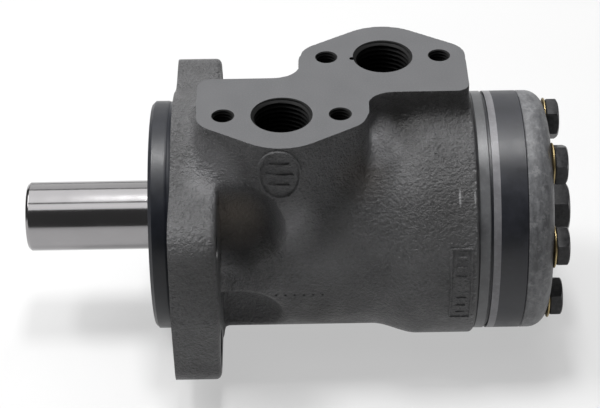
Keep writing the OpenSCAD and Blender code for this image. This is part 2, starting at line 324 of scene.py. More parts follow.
def tapered_bar(x, y, ax, ay, ra, bx, by, rb):
    """Distance to two discs and the straight sides that join them."""
    dx, dy = bx - ax, by - ay
    length2 = dx * dx + dy * dy
    px, py = x - ax, y - ay
    u = np.abs(px * dy - py * dx) / length2
    v = (px * dx + py * dy) / length2
    slope = ra - rb
    side = math.sqrt(length2 - slope * slope)
    turn = side * v - slope * u
    square = u * u + v * v
    near_a = np.sqrt(length2 * square) - ra
    near_b = np.sqrt(np.maximum(length2 * (square + 1 - 2 * v), 0)) - rb
    middle = side * u + slope * v - ra
    return np.where(turn < 0, near_a, np.where(turn > side, near_b, middle))


def rounded_box(x, y, low, high, radius):
    cx, cy = (low[0] + high[0]) / 2, (low[1] + high[1]) / 2
    qx = np.abs(x - cx) - (high[0] - low[0]) / 2 + radius
    qy = np.abs(y - cy) - (high[1] - low[1]) / 2 + radius
    return np.hypot(np.maximum(qx, 0), np.maximum(qy, 0)) + np.minimum(np.maximum(qx, qy), 0) - radius


def plate(outline, along, low, high, radius):
    """A flat outline's distance made into a plate's, with rounded edges."""
    q = np.abs(along - (low + high) / 2) - (high - low) / 2 + radius
    d = outline + radius
    return np.hypot(np.maximum(d, 0), np.maximum(q, 0)) + np.minimum(np.maximum(d, q), 0) - radius


def body_field(x, y, z):
    """Waist, cone and barrel, with a low ridge and a trough near the top."""
    r = np.hypot(y, z)
    angle = np.degrees(np.arctan2(z, y)) % 360
    t = np.clip((x - CONE_START) / (CONE_END - CONE_START), 0, 1)
    wall = WAIST_R + (BARREL_R - WAIST_R) * t * t * (3 - 2 * t)
    fade = np.exp(-((angle - RIDGE_ANGLE) / 13.0) ** 4)
    wall = wall + RIDGE_HEIGHT * fade * np.exp(-((x - RIDGE_X) / RIDGE_WIDTH) ** 2)
    wall = wall - TROUGH_DEPTH * fade * np.exp(-((x - RIDGE_X - TROUGH_OFFSET) / TROUGH_WIDTH) ** 2)
    return r - wall


def flange_field(x, y, z):
    """Four ears, bulged sides and a round centre."""
    ya, za = np.abs(y), np.abs(z)
    side_y = FLANGE_SIDE - SIDE_R
    edge = tapered_bar(ya, za, FLANGE_BOLT_Y, FLANGE_BOLT_Z, EAR_R, side_y, 0.0, SIDE_R)
    middle = tapered_bar(ya, za, FLANGE_BOLT_Y, FLANGE_BOLT_Z, EAR_R, 0.0, FLANGE_BOLT_Z, EAR_R)
    inner = np.maximum(ya - side_y, za - FLANGE_BOLT_Z)
    outline = np.minimum(np.minimum(edge, middle), inner)
    outline = smooth_union(outline, np.hypot(y, z) - BARREL_R, 5.0)
    return plate(outline, x, -30.0, FLANGE_T, 2.6)


def block_half(x, y):
    """One oval round a port and the squared corner beside it, about the middle of the port face."""
    px, py = PORTS[0].x - PORT_MID.x, PORTS[0].y - PORT_MID.y
    gap = MANIFOLD_GAP / 2
    left = BLOCK_LEFT - PORT_MID.x
    oval = np.minimum(tapered_bar(x, y, px, py, BOSS_R, px - gap, py, LUG_R),
                      tapered_bar(x, y, px, py, BOSS_R, px + gap, py, LUG_R))
    neck = rounded_box(x, y, (-NECK, py), (NECK, -py), 0.0)
    corner = rounded_box(x, y, (left, py - 1), (6.0, BLOCK_STEP), BLOCK_CORNER_R)
    return np.minimum(oval, neck), corner


def block_outline(x, y):
    u, v = x - PORT_MID.x, y - PORT_MID.y
    near_oval, near_corner = block_half(u, v)
    far_oval, far_corner = block_half(-u, -v)
    near = smooth_union(far_oval, near_corner, NECK_FILLET)
    far = smooth_union(near_oval, far_corner, NECK_FILLET)
    return np.minimum(np.minimum(near, far), np.minimum(near_oval, far_oval))


def scoops_field(x, y, z):
    """Hollows behind the flange ears."""
    axis = math.atan2(FLANGE_BOLT_Z, FLANGE_BOLT_Y)
    cy, cz = polar(SCOOP_AXIS_R, axis)
    r = np.hypot(np.abs(y) - cy, np.abs(z) - cz)
    tube = np.where(x < SCOOP_END, r, np.hypot(r, x - SCOOP_END)) - SCOOP_R
    return np.maximum(tube, FLANGE_T - x)


def cast_field(x, y, z):
    """Distance to the whole casting before it is machined. The hollows are cut after the port block is joined."""
    body = plate(body_field(x, y, z), x, -30.0, REAR_FACE + 30.0, 1.0)
    flange = flange_field(x, y, z)
    block = np.maximum(block_outline(x, y), -z)
    whole = smooth_union(smooth_union(body, flange, 2.0), block, 6.0)
    return smooth_cut(whole, scoops_field(x, y, z), 1.6)


def gradient(x, y, z):
    step = 0.05
    gx = cast_field(x + step, y, z) - cast_field(x - step, y, z)
    gy = cast_field(x, y + step, z) - cast_field(x, y - step, z)
    gz = cast_field(x, y, z + step) - cast_field(x, y, z - step)
    return np.stack([gx, gy, gz], axis=-1) / (2 * step)


def onto_surface(points, rounds=3):
    """Moves points onto the cast surface."""
    p = np.array(points, float)
    for _ in range(rounds):
        value = cast_field(*p.T)
        slope = gradient(*p.T)
        size = np.maximum((slope ** 2).sum(axis=1), 0.2)
        move = np.clip(value / size, -0.5, 0.5)
        p -= slope * move[:, None]
    return p


def surface_net(field, low, high, step):
    """Quads along the zero surface of a field, with one vertex in each cell that the surface crosses."""
    counts = [int(math.ceil((b - a) / step)) + 1 for a, b in zip(low, high)]
    axes = [a + step * np.arange(n) for a, n in zip(low, counts)]
    values = field(*np.meshgrid(*axes, indexing="ij"))
    solid = values < 0
    corners = [(i, j, k) for i in (0, 1) for j in (0, 1) for k in (0, 1)]
    cells = tuple(n - 1 for n in counts)
    total = np.zeros(cells, np.int8)
    for i, j, k in corners:
        total += solid[i:i + cells[0], j:j + cells[1], k:k + cells[2]]
    active = (total > 0) & (total < 8)
    index = np.full(cells, -1)
    index[active] = np.arange(active.sum())
    where = np.argwhere(active)
    sums, crossings = np.zeros((len(where), 3)), np.zeros(len(where))
    for a in corners:
        for axis in range(3):
            if a[axis]:
                continue
            b = tuple(1 if n == axis else a[n] for n in range(3))
            va = values[tuple((where + a).T)]
            vb = values[tuple((where + b).T)]
            crossed = (va < 0) != (vb < 0)
            t = np.where(crossed, va / np.where(crossed, va - vb, 1), 0)
            point = np.array(a, float)[None] + t[:, None] * (np.array(b) - np.array(a))[None]
            sums += point * crossed[:, None]
            crossings += crossed
    verts = np.array(low) + (where + sums / crossings[:, None]) * step
    faces = []
    for axis in range(3):
        u, v = (axis + 1) % 3, (axis + 2) % 3
        ahead = [slice(None)] * 3
        ahead[axis] = slice(1, None)
        behind = [slice(None)] * 3
        behind[axis] = slice(None, -1)
        changed = np.argwhere(solid[tuple(ahead)] != solid[tuple(behind)])
        changed = changed[(changed[:, u] > 0) & (changed[:, v] > 0)]
        back_u, back_v = np.eye(3, dtype=int)[u], np.eye(3, dtype=int)[v]
        ring = [changed, changed - back_u, changed - back_u - back_v, changed - back_v]
        quads = np.stack([index[tuple(c.T)] for c in ring], axis=1)
        flip = solid[tuple(changed.T)]
        quads[~flip] = quads[~flip][:, ::-1]
        faces.append(quads)
    return verts, np.concatenate(faces)


# ---------------------------------------------------------------- materials
class Paint:
    """A material's node tree with short calls for the nodes that the finishes share."""

    def __init__(self, name, color, roughness, metallic=0.0, specular=0.5):
        self.material = bpy.data.materials.new(name)
        self.material.use_nodes = True
        self.tree = self.material.node_tree
        self.shader = self.tree.nodes["Principled BSDF"]
        self.shader.inputs["Base Color"].default_value = (*color, 1)
        self.shader.inputs["Roughness"].default_value = roughness
        self.shader.inputs["Metallic"].default_value = metallic
        self.shader.inputs["Specular IOR Level"].default_value = specular
        coordinates = self.tree.nodes.new("ShaderNodeTexCoord")
        self.place = coordinates.outputs["Object"]
        self.normal = None

    def node(self, kind, values, **settings):
        made = self.tree.nodes.new("ShaderNode" + kind)
        for key, value in settings.items():
            setattr(made, key, value)
        for key, value in values.items():
            if isinstance(value, bpy.types.NodeSocket):
                self.tree.links.new(value, made.inputs[key])
            else:
                made.inputs[key].default_value = value
        return made

    def noise(self, size, detail=3.0, rough=0.55, stretch=(1, 1, 1)):
        """Noise from 0 to 1 whose grain is about size millimetres."""
        scaled = self.node("VectorMath", {0: self.place, 1: stretch}, operation="MULTIPLY")
        made = self.node("TexNoise", {"Vector": scaled.outputs[0], "Scale": 1 / (size * MM),
                                      "Detail": detail, "Roughness": rough})
        return made.outputs[0]

    def remap(self, value, low, high, to_low=0.0, to_high=1.0):
        made = self.node("MapRange", {"Value": value, "From Min": low, "From Max": high,
                                      "To Min": to_low, "To Max": to_high})
        return made.outputs["Result"]

    def maths(self, operation, a, b=0.0):
        return self.node("Math", {0: a, 1: b}, operation=operation).outputs[0]

    def mix(self, factor, a, b):
        """Mixes two colours, each a socket or three numbers."""
        made = self.tree.nodes.new("ShaderNodeMix")
        made.data_type = "RGBA"
        for key, value in ((0, factor), (6, a), (7, b)):
            if isinstance(value, bpy.types.NodeSocket):
                self.tree.links.new(value, made.inputs[key])
            else:
                made.inputs[key].default_value = (*value, 1) if key else value
        return made.outputs[2]

    def radius(self):
        """Distance from the shaft axis, in metres."""
        flat = self.node("VectorMath", {0: self.place, 1: (0, 1, 1)}, operation="MULTIPLY")
        return self.node("VectorMath", {0: flat.outputs[0]}, operation="LENGTH").outputs["Value"]

    def along(self, axis="X"):
        return self.node("SeparateXYZ", {0: self.place}).outputs[axis]

    def near(self, centre, reach, narrow=1.0):
        """1 at a point in millimetres, falling to 0 at a distance of reach. It may be made narrow along X."""
        point = tuple(c * MM for c in centre)
        offset = self.node("VectorMath", {0: self.place, 1: point}, operation="SUBTRACT").outputs[0]
        offset = self.node("VectorMath", {0: offset, 1: (narrow, 1, 1)}, operation="MULTIPLY").outputs[0]
        gap = self.node("VectorMath", {0: offset}, operation="LENGTH").outputs["Value"]
        return self.remap(gap, 0.0, reach * MM, 1.0, 0.0)

    def bump(self, height, depth, strength=1.0):
        """Adds a bump whose full height is depth millimetres."""
        values = {"Height": height, "Distance": depth * MM, "Strength": strength}
        if self.normal:
            values["Normal"] = self.normal
        self.normal = self.node("Bump", values).outputs["Normal"]

    def done(self, color, roughness=None):
        for key, value in (("Base Color", color), ("Roughness", roughness), ("Normal", self.normal)):
            if value is not None:
                self.tree.links.new(value, self.shader.inputs[key])
        return self.material


# Painted shade and painted highlights on the casting; one shaded patch also has a brown stain. Each has its point, its
# reach, its strength and its colour.
# Tones: a dark one for painted shade, a brown for stain with shade, a warm one and a grey one for painted light, and a
# pale one for painted highlights.
PAINTED_SHADE, BROWN_STAIN_AND_SHADE = (0.014, 0.013, 0.012), (0.075, 0.056, 0.04)
WARM_PAINTED_LIGHT, PAINTED_LIGHT, PAINTED_HIGHLIGHT = (0.21, 0.18, 0.15), (0.17, 0.17, 0.175), (0.3, 0.3, 0.31)
PAINTED_LIGHT_AND_SHADE = (((33, -33, 10), 14, 0.9, PAINTED_SHADE), ((28, -27, -22), 12, 0.3, PAINTED_SHADE), ((79, -7, 46), 13, 1.0, PAINTED_SHADE),
          ((87, -7, 52), 13, 0.9, PAINTED_SHADE), ((99, -7, 52), 13, 0.9, PAINTED_SHADE), ((66, -27, 36), 12, 0.5, BROWN_STAIN_AND_SHADE),
          ((62, -30, 30), 9, 0.5, PAINTED_SHADE), ((57, -36, 19), 14, 0.6, PAINTED_SHADE), ((21, -27, 20), 14, 1.0, WARM_PAINTED_LIGHT),
          ((26, -36, -15), 13, 0.6, PAINTED_LIGHT), ((70.5, -14, 41), 11, 1.0, PAINTED_HIGHLIGHT), ((83, -28, 35), 13, 0.45, PAINTED_LIGHT),
          ((15, -28, 40), 13, 0.75, PAINTED_HIGHLIGHT), ((5, -53, 28), 12, 0.25, PAINTED_LIGHT), ((41, -38, 23), 12, 0.7, PAINTED_HIGHLIGHT),
          ((54, -40, 7), 20, 0.4, PAINTED_LIGHT), ((95, -34, 28), 22, 0.6, PAINTED_SHADE), ((51, -38, -18), 22, 0.9, PAINTED_SHADE),
          ((9, -60, 17), 17, 0.45, PAINTED_SHADE))

# Two scratches on the barrel: where each is along X, and its reach
SCRATCHES = ((99.2, 3.6), (104.4, 3.0))
SCRATCH_ANGLE = 138


def cast_finish():
    """Dark phosphated casting: rough grain and cloudy tone, with painted shade and painted highlights, a chipped rear
    edge and two scratches.
    """
    p = Paint("cast_iron", (0.05, 0.05, 0.052), 0.5, specular=0.5)
    cloud = p.noise(16, 4, 0.6)
    grain = p.noise(1.3, 4, 0.62)
    speck = p.noise(0.7, 3, 0.6)
    patches = p.remap(p.noise(11, 3, 0.5), 0.42, 0.6)
    color = p.mix(p.remap(cloud, 0.3, 0.7), (0.053, 0.053, 0.0545), (0.088, 0.088, 0.091))
    color = p.mix(p.maths("MULTIPLY", p.remap(speck, 0.52, 0.7), 0.4), color, (0.16, 0.16, 0.163))
    color = p.mix(p.maths("MULTIPLY", p.remap(grain, 0.5, 0.32), 0.45), color, (0.018, 0.018, 0.018))
    # Painted shade darkens the places under the port block, the waist, the barrel's middle and the lower flank; painted
    # light lightens the ridge, the cone, the fillet, the lobe and the hollows behind the flange.
    for centre, reach, amount, tone in PAINTED_LIGHT_AND_SHADE:
        painted_patch = p.maths("MULTIPLY", p.near(centre, reach), p.remap(cloud, 0.25, 0.6, 0.5, 1.0))
        color = p.mix(p.maths("MULTIPLY", painted_patch, amount), color, tone)
    edge = p.remap(p.along(), (REAR_FACE - 2.4) * MM, (REAR_FACE - 0.9) * MM)
    chips = p.remap(p.noise(1.2, 2, 0.5, (0.5, 1, 1)), 0.58, 0.66)
    color = p.mix(p.maths("MULTIPLY", p.maths("MULTIPLY", edge, chips), 0.7), color, (0.3, 0.3, 0.305))
    for x, reach in SCRATCHES:
        scratch = p.remap(p.near(barrel_point(x, SCRATCH_ANGLE), reach, 7.0), 0.0, 0.5)
        color = p.mix(p.maths("MULTIPLY", scratch, 0.7), color, (0.3, 0.3, 0.305))
    p.bump(grain, 1.0, 1.0)
    p.bump(p.noise(2.6, 3, 0.6), 0.5, 0.5)
    p.bump(speck, 0.45, 1.0)
    rough = p.remap(patches, 0, 1, 0.36, 0.5)
    return p.done(color, rough)


def milled_finish():
    """Machined port face under a thin phosphate coat."""
    p = Paint("milled_face", (0.15, 0.15, 0.155), 0.42, specular=0.5)
    cloud = p.noise(9, 3, 0.5)
    fine = p.noise(0.5, 3, 0.6)
    lines = p.noise(0.35, 2, 0.5, (1, 0.04, 1))
    color = p.mix(cloud, (0.062, 0.063, 0.0665), (0.08, 0.081, 0.085))
    color = p.mix(p.maths("MULTIPLY", p.remap(fine, 0.45, 0.7), 0.3), color, (0.14, 0.14, 0.145))
    p.bump(lines, 0.01, 0.35)
    p.bump(fine, 0.02, 0.3)
    return p.done(color, p.remap(cloud, 0.3, 0.7, 0.36, 0.46))


def turned_finish(name, dark, light, roughness, pitch=0.35, specular=0.5):
    """A turned surface: fine rings from the tool, and a cloudy coat."""
    depth = 0.012
    p = Paint(name, light, roughness, specular=specular)
    travel = p.maths("ADD", p.along(), p.radius())
    ring = p.maths("SINE", p.maths("MULTIPLY", travel, TURN / (pitch * MM)))
    cloud = p.noise(7, 4, 0.6)
    mottle = p.noise(1.6, 3, 0.6)
    color = p.mix(p.remap(cloud, 0.3, 0.7), dark, light)
    color = p.mix(p.maths("MULTIPLY", p.remap(mottle, 0.5, 0.75), 0.3), color, tuple(c * 1.6 for c in light))
    p.bump(ring, depth, 0.4)
    p.bump(p.noise(0.6, 2, 0.5), depth, 0.5)
    return p.done(color, p.remap(cloud, 0.3, 0.7, roughness * 0.85, roughness * 1.15))


def thread_finish():
    """Threads of the port face, with painted shade that turns them black below their first turns."""
    p = Paint("thread_black", (0.01, 0.01, 0.01), 0.55, specular=0.06)
    # Painted shade: the threads get darker with depth down the hole.
    shallow = p.remap(p.along("Z"), (PORT_FACE - 6.5) * MM, (PORT_FACE - 3.0) * MM)
    return p.done(p.mix(shallow, (0.001, 0.001, 0.001), (0.016, 0.016, 0.016)))


def steel_finish(name, color, roughness):
    """Ground bright steel with faint rings and a cloudy shine."""
    pitch = 0.25
    p = Paint(name, color, roughness, metallic=1.0)
    travel = p.maths("ADD", p.along(), p.radius())
    ring = p.maths("SINE", p.maths("MULTIPLY", travel, TURN / (pitch * MM)))
    cloud = p.noise(12, 3, 0.5)
    tone = p.mix(cloud, tuple(c * 0.9 for c in color), tuple(min(1, c * 1.06) for c in color))
    p.bump(ring, 0.0015, 0.25)
    return p.done(tone, p.remap(cloud, 0.3, 0.7, roughness * 0.8, roughness * 1.25))


def cover_finish():
    """Mottled grey phosphate with vertical smears and light blotches."""
    p = Paint("cover_steel", (0.1, 0.1, 0.103), 0.45)
    blotch = p.noise(2.4, 5, 0.66)
    smear = p.noise(5.0, 3, 0.6, (2.6, 1, 1))
    fine = p.noise(0.8, 3, 0.6)
    color = p.mix(p.remap(smear, 0.35, 0.65), (0.066, 0.067, 0.071), (0.135, 0.137, 0.143))
    color = p.mix(p.maths("MULTIPLY", p.remap(blotch, 0.52, 0.7), 0.7), color, (0.23, 0.23, 0.236))
    color = p.mix(p.maths("MULTIPLY", p.remap(fine, 0.5, 0.3), 0.4), color, (0.04, 0.04, 0.043))
    p.bump(fine, 0.05, 0.5)
    return p.done(color, p.remap(blotch, 0.3, 0.7, 0.38, 0.55))


def fastener_finish():
    """Black oxide steel, scuffed on its edges and faces."""
    p = Paint("black_oxide", (0.02, 0.02, 0.022), 0.4, specular=0.25)
    cloud = p.noise(1.8, 4, 0.65)
    scuff = p.noise(0.5, 3, 0.6, (1, 1, 0.2))
    color = p.mix(p.remap(cloud, 0.35, 0.7), (0.012, 0.012, 0.013), (0.036, 0.036, 0.038))
    color = p.mix(p.maths("MULTIPLY", p.remap(scuff, 0.6, 0.8), 0.4), color, (0.1, 0.1, 0.105))
    p.bump(cloud, 0.05, 0.6)
    return p.done(color, p.remap(cloud, 0.3, 0.7, 0.3, 0.48))


def zinc_finish():
    """Yellow plated washers."""
    p = Paint("yellow_zinc", (0.5, 0.38, 0.16), 0.36, metallic=1.0)
    cloud = p.noise(2.0, 4, 0.6)
    color = p.mix(cloud, (0.3, 0.23, 0.11), (0.48, 0.38, 0.2))
    p.bump(p.noise(0.5, 3, 0.6), 0.02, 0.5)
    return p.done(color, p.remap(cloud, 0.3, 0.7, 0.3, 0.45))


def soft_finish(name, color):
    """Rubber or plastic without a shine."""
    p = Paint(name, color, 0.55)
    cloud = p.noise(3.0, 3, 0.5)
    tone = p.mix(cloud, tuple(c * 0.8 for c in color), tuple(c * 1.5 for c in color))
    p.bump(p.noise(0.4, 2, 0.5), 0.02, 0.5)
    return p.done(tone, p.remap(cloud, 0.3, 0.7, 0.5, 0.64))


CAST = cast_finish()
MILLED = milled_finish()
PILOT_BLACK = turned_finish("pilot_black", (0.006, 0.007, 0.01), (0.01, 0.0115, 0.0165), 0.38, specular=0.4)
BORED = turned_finish("bored_iron", (0.02, 0.02, 0.021), (0.045, 0.045, 0.047), 0.42, 0.6)
THREAD_DEPTH_SHADE = thread_finish()
RING_BLACK = turned_finish("ring_black", (0.009, 0.010, 0.013), (0.015, 0.016, 0.022), 0.4)
RING_GROUND = turned_finish("ring_ground", (0.12, 0.118, 0.126), (0.17, 0.168, 0.178), 0.36)
PLATE_GREY = turned_finish("plate_grey", (0.07, 0.071, 0.074), (0.11, 0.112, 0.117), 0.35)
COVER = cover_finish()
SHAFT_STEEL = steel_finish("shaft_steel", (0.33, 0.323, 0.328), 0.13)
INNER_STEEL = steel_finish("inner_steel", (0.56, 0.56, 0.57), 0.24)
DARK_STEEL = steel_finish("hardened_steel", (0.3, 0.3, 0.31), 0.3)
BLACK_OXIDE = fastener_finish()
ZINC = zinc_finish()
RUBBER = soft_finish("nitrile_rubber", (0.016, 0.016, 0.017))
PTFE = soft_finish("ptfe", (0.62, 0.6, 0.55))
CAGE_STEEL = steel_finish("cage_steel", (0.55, 0.46, 0.3), 0.35)


# ---------------------------------------------------------------- housing
def along_z(shape, x, y, z):
    """Stands a shape that runs along +X up along +Z, with its zero at (x, y, z)."""
    return turn_shape(shape, lambda v: (x - v[2], y + v[1], z + v[0]))


def rod_shape(x0, x1, r, y=0.0, z=0.0, steps=32):
    return lathe_shape([(x0, 0), (x0, r), (x1, r), (x1, 0)], steps, y, z)


def turned_cut():
    """The spigot, both end faces and the whole stepped bore, as the one shape that turning removes."""
    chamfer = 1.2
    rear_round = 1.6
    far = 110.0
    profile = [(PILOT_START - 20, 0), (PILOT_START - 20, far), (0, far), (0, PILOT_R + 0.5),
               (-0.35, PILOT_R + 0.15), (-1.3, PILOT_R - 0.35), (-2.2, PILOT_R), (-2.5, PILOT_R),
               (PILOT_START + chamfer + 0.3, PILOT_R), (PILOT_START + chamfer, PILOT_R),
               (PILOT_START, PILOT_R - chamfer), (PILOT_START, SEAL_POCKET_R + 0.9),
               (PILOT_START + 0.9, SEAL_POCKET_R), (SEAL_POCKET_END, SEAL_POCKET_R),
               (SEAL_POCKET_END, JOURNAL_HOLE_R), (BORE_START, JOURNAL_HOLE_R), (BORE_START, BORE_R)]
    for port in PORTS:
        profile += [(port.x - CHANNEL_W / 2, BORE_R), (port.x - CHANNEL_W / 2, CHANNEL_R),
                    (port.x + CHANNEL_W / 2, CHANNEL_R), (port.x + CHANNEL_W / 2, BORE_R)]
    profile += [(REAR_FACE - 0.6, BORE_R), (REAR_FACE, BORE_R + 0.6), (REAR_FACE, BARREL_R - rear_round)]
    profile += arc(REAR_FACE - rear_round, BARREL_R - rear_round, rear_round, 0, 84, 5)[1:]
    profile += [(REAR_FACE - 1.4, far), (REAR_FACE + 20, far), (REAR_FACE + 20, 0)]
    return lathe_shape(profile, 160)


def hole_cuts():
    """Threads and holes that don't meet each other."""
    shapes = []
    for port in PORTS:
        thread = thread_shape(0, PORT_DEPTH + 1, PORT_R + 0.05, PORT_R + 1.15, PORT_PITCH, 96, 0.15)
        shapes.append(along_z(thread, port.x, port.y, PORT_FACE - PORT_DEPTH))
        for side in (-1, 1):
            thread = thread_shape(0, MANIFOLD_DEPTH + 1, MANIFOLD_R, MANIFOLD_R + 0.5, M8_PITCH, 40, 0.05)
            x = port.x + side * MANIFOLD_GAP / 2
            shapes.append(along_z(thread, x, port.y, PORT_FACE - MANIFOLD_DEPTH))
    for sy in (-1, 1):
        for sz in (-1, 1):
            shapes.append(rod_shape(-2, FLANGE_T + 2, FLANGE_HOLE_R, sy * FLANGE_BOLT_Y, sz * FLANGE_BOLT_Z, 48))
    shapes += [rod_shape(REAR_FACE - 20, REAR_FACE + 1, BOLT_R, y, z) for y, z in bolt_places()]
    return join_shapes(shapes)


def drilling_cuts():
    """Port drillings down to the valve channels. Each ends 1 mm inside its threaded hole."""
    height = PORT_FACE - PORT_DEPTH + 1 - PORT_DRILL_START
    return join_shapes([along_z(rod_shape(0, height, PORT_DRILL_R), port.x, port.y, PORT_DRILL_START)
                        for port in PORTS])


def bead(points, width, height, closed=True):
    """A raised, rounded line on the cast surface."""
    p = onto_surface(points, 6)
    normal = gradient(*p.T)
    normal /= np.linalg.norm(normal, axis=1)[:, None]
    ahead = np.roll(p, -1, axis=0) - np.roll(p, 1, axis=0)
    if not closed:
        ahead[0], ahead[-1] = p[1] - p[0], p[-1] - p[-2]
    side = np.cross(normal, ahead)
    side /= np.linalg.norm(side, axis=1)[:, None]
    section = [(-0.5, -0.7), (-0.46, 0.35), (-0.28, 0.9), (0, 1.0), (0.28, 0.9), (0.46, 0.35), (0.5, -0.7)]
    verts = np.concatenate([p + side * width * a + normal * height * b for a, b in section])
    verts = verts.reshape(len(section), len(p), 3).transpose(1, 0, 2).reshape(-1, 3)
    faces = grid_faces(len(p), len(section), closed_rows=closed)
    if not closed:
        faces += [tuple(range(len(section))), tuple(range(len(verts) - 1, len(verts) - len(section) - 1, -1))]
    return [tuple(v) for v in verts], faces


def wall_point(x, z):
    """A point near the front lobe's wall."""
    return (x, PORTS[0].y - BOSS_R, z)


def casting_marks():
    """Plain raised marks: an oval with three bars on the front lobe, and a frame with six bars on the barrel."""
    cx, cz = 37.6, 44.0
    oval = [wall_point(cx + 7.4 * math.cos(a), cz + 9.4 * math.sin(a)) for a in np.linspace(0, TURN, 72)[:-1]]
    oval_width, frame_width = 1.3, 0.9
    shapes = [bead(oval, oval_width, 0.75)]
    for dz, half in ((4.2, 3.4), (0.0, 4.6), (-4.2, 3.4)):
        line = [wall_point(cx + half * t, cz + dz) for t in np.linspace(-1, 1, 12)]
        shapes.append(bead(line, oval_width, 0.7, False))
    x0, x1, a0, a1 = 96.3, 103.4, 161.0, 201.0
    corners = [(x0, a0), (x1, a0), (x1, a1), (x0, a1)]
    frame_line = []
    for (xa, aa), (xb, ab) in zip(corners, corners[1:] + corners[:1]):
        steps = 8 if aa == ab else 32
        frame_line += [barrel_point(xa + (xb - xa) * t, aa + (ab - aa) * t) for t in np.arange(steps) / steps]
    shapes.append(bead(frame_line, frame_width, 0.42))
    for angle in (165, 170, 175, 187, 192, 197):
        bar = [barrel_point(x0 + 1.9 + 3.3 * t, angle) for t in np.linspace(0, 1, 6)]
        shapes.append(bead(bar, 0.95, 0.42, False))
    return join_shapes(shapes)


def dents():
    """A row of small punch dots low on the flank, and a nick in the rim of the rear port."""
    shapes = []
    first, pitch, angle, r = 35.6, 3.25, math.radians(188.5), 0.5
    for i in range(6):
        x = first + pitch * i
        _, y, z = onto_surface([(x, *polar(WAIST_R, angle))], 6)[0]
        shapes.append(lathe_shape([(x - r, 0)] + arc(x, 0, r, 150, 30, 4) + [(x + r, 0)], 12, y, z))
    nick = along_z(lathe_shape([(0, 0), (0, 0.9), (3, 1.0), (3, 0)], 20), PORTS[1].x - PORT_R - 1.6,
                   PORTS[1].y - 1.2, PORT_FACE - 2)
    return join_shapes(shapes + [nick])


def face_kinds(mesh):
    """Material number of each face: cast, milled, turned outside, bored or threaded."""
    count = len(mesh.polygons)
    centres = np.zeros(count * 3, np.float32)
    mesh.polygons.foreach_get("center", centres)
    normals = np.zeros(count * 3, np.float32)
    mesh.polygons.foreach_get("normal", normals)
    c = centres.reshape(-1, 3).astype(float) / MM
    n = normals.reshape(-1, 3)
    r = np.hypot(c[:, 1], c[:, 2])
    cast, milled, turned, bored, threaded = range(5)
    kinds = np.full(count, bored)
    depth = cast_field(*c.T)
    on_cast = np.abs(depth) < 0.25
    kinds[on_cast] = cast
    cast_marks = (depth > 0) & (c[:, 2] < PORT_FACE - 0.2) & (c[:, 0] > 1) & (c[:, 0] < REAR_FACE - 2)
    kinds[cast_marks] = cast
    in_hole = (c[:, 2] > PORT_FACE - PORT_DEPTH - 1) & (c[:, 2] < PORT_FACE - 0.02) & ~on_cast & ~cast_marks
    kinds[in_hole] = threaded
    kinds[(np.abs(c[:, 2] - PORT_FACE) < 0.02) & (n[:, 2] > 0.9)] = milled
    kinds[(c[:, 0] < 0.02) & (r > SEAL_POCKET_R + 1)] = turned
    at_rear = (np.abs(c[:, 0] - REAR_FACE) < 1.7) & (r > BORE_R + 0.5) & (c[:, 2] < BARREL_R + 0.5)
    kinds[at_rear & ~on_cast] = bored
    return kinds


def housing():
    """The cast surface is meshed and closed just past the faces that are machined, and then machined."""
    margin, stock = 1.5, 0.7
    low = (-margin, -FLANGE_SIDE - margin, -BARREL_R - margin)
    high = (REAR_FACE + margin, FLANGE_SIDE + margin, PORT_FACE + margin)

    def closed_field(x, y, z):
        cap = np.maximum(np.maximum(-stock - x, x - REAR_FACE - stock), z - PORT_FACE - stock)
        return np.maximum(cast_field(x, y, z), cap)

    verts, faces = surface_net(closed_field, low, high, GRID)
    inner = (verts[:, 0] > 0.5) & (verts[:, 0] < REAR_FACE - 0.5) & (verts[:, 2] < PORT_FACE - 0.5)
    verts[inner] = onto_surface(verts[inner])
    obj = make_object("housing_casting", verts, faces)
    spigot = lathe_shape([(PILOT_START - 1, 0), (PILOT_START - 1, PILOT_R + 1), (4, PILOT_R + 1), (4, 0)], 160)
    combine(obj, spigot, "UNION")
    combine(obj, turned_cut(), "DIFFERENCE")
    combine(obj, box_shape((-50, -100, PORT_FACE), (150, 100, PORT_FACE + 30)), "DIFFERENCE")
    combine(obj, casting_marks(), "UNION")
    combine(obj, hole_cuts(), "DIFFERENCE")
    combine(obj, drilling_cuts(), "DIFFERENCE")
    combine(obj, dents(), "DIFFERENCE")
    kinds = face_kinds(obj.data)
    materials = [CAST, MILLED, PILOT_BLACK, BORED, THREAD_DEPTH_SHADE]
    finish_piece(obj, "motor_body", "cast_housing", materials, "housing", degrees=38)
    obj.data.polygons.foreach_set("material_index", kinds.astype(np.int32))
    return obj


# ---------------------------------------------------------------- turned parts
def spin_shape(shape, angle):
    """A shape turned about the shaft axis."""
    c, s = math.cos(angle), math.sin(angle)
    return turn_shape(shape, lambda v: (v[0], v[1] * c - v[2] * s, v[1] * s + v[2] * c))


def timing_slot(k):
    """Slot k of the spool. Slots join the two ring channels to the middle by turns."""
    start, end = (PORTS[0].x, PORT_MID.x) if k % 2 == 0 else (PORT_MID.x, PORTS[1].x)
    box = box_shape((start, SPOOL_R - SLOT_DEPTH, -SLOT_HALF_WIDTH), (end, SPOOL_R + SLOT_DEPTH, SLOT_HALF_WIDTH))
    return spin_shape(box, TURN * k / SLOT_COUNT)


def keyway():
    """A slot with round ends, cut into the side that the camera doesn't see."""
    start = shaft_low.x + 4
    end_r = KEY_WIDTH / 2
    outline = []
    for middle, first in ((start + end_r, math.pi / 2), (start + KEY_LENGTH - end_r, -math.pi / 2)):
        angles = np.linspace(first, first + math.pi, 17)
        outline += [(middle + end_r * math.cos(a), end_r * math.sin(a)) for a in angles]
    verts = [(x, level, w) for level in (SHAFT_R - KEY_DEPTH, SHAFT_R + 3) for x, w in outline]
    n = len(outline)
    faces = grid_faces(2, n) + [tuple(range(n)), tuple(range(2 * n - 1, n - 1, -1))]
    return spin_shape((verts, faces), KEY_ANGLE)


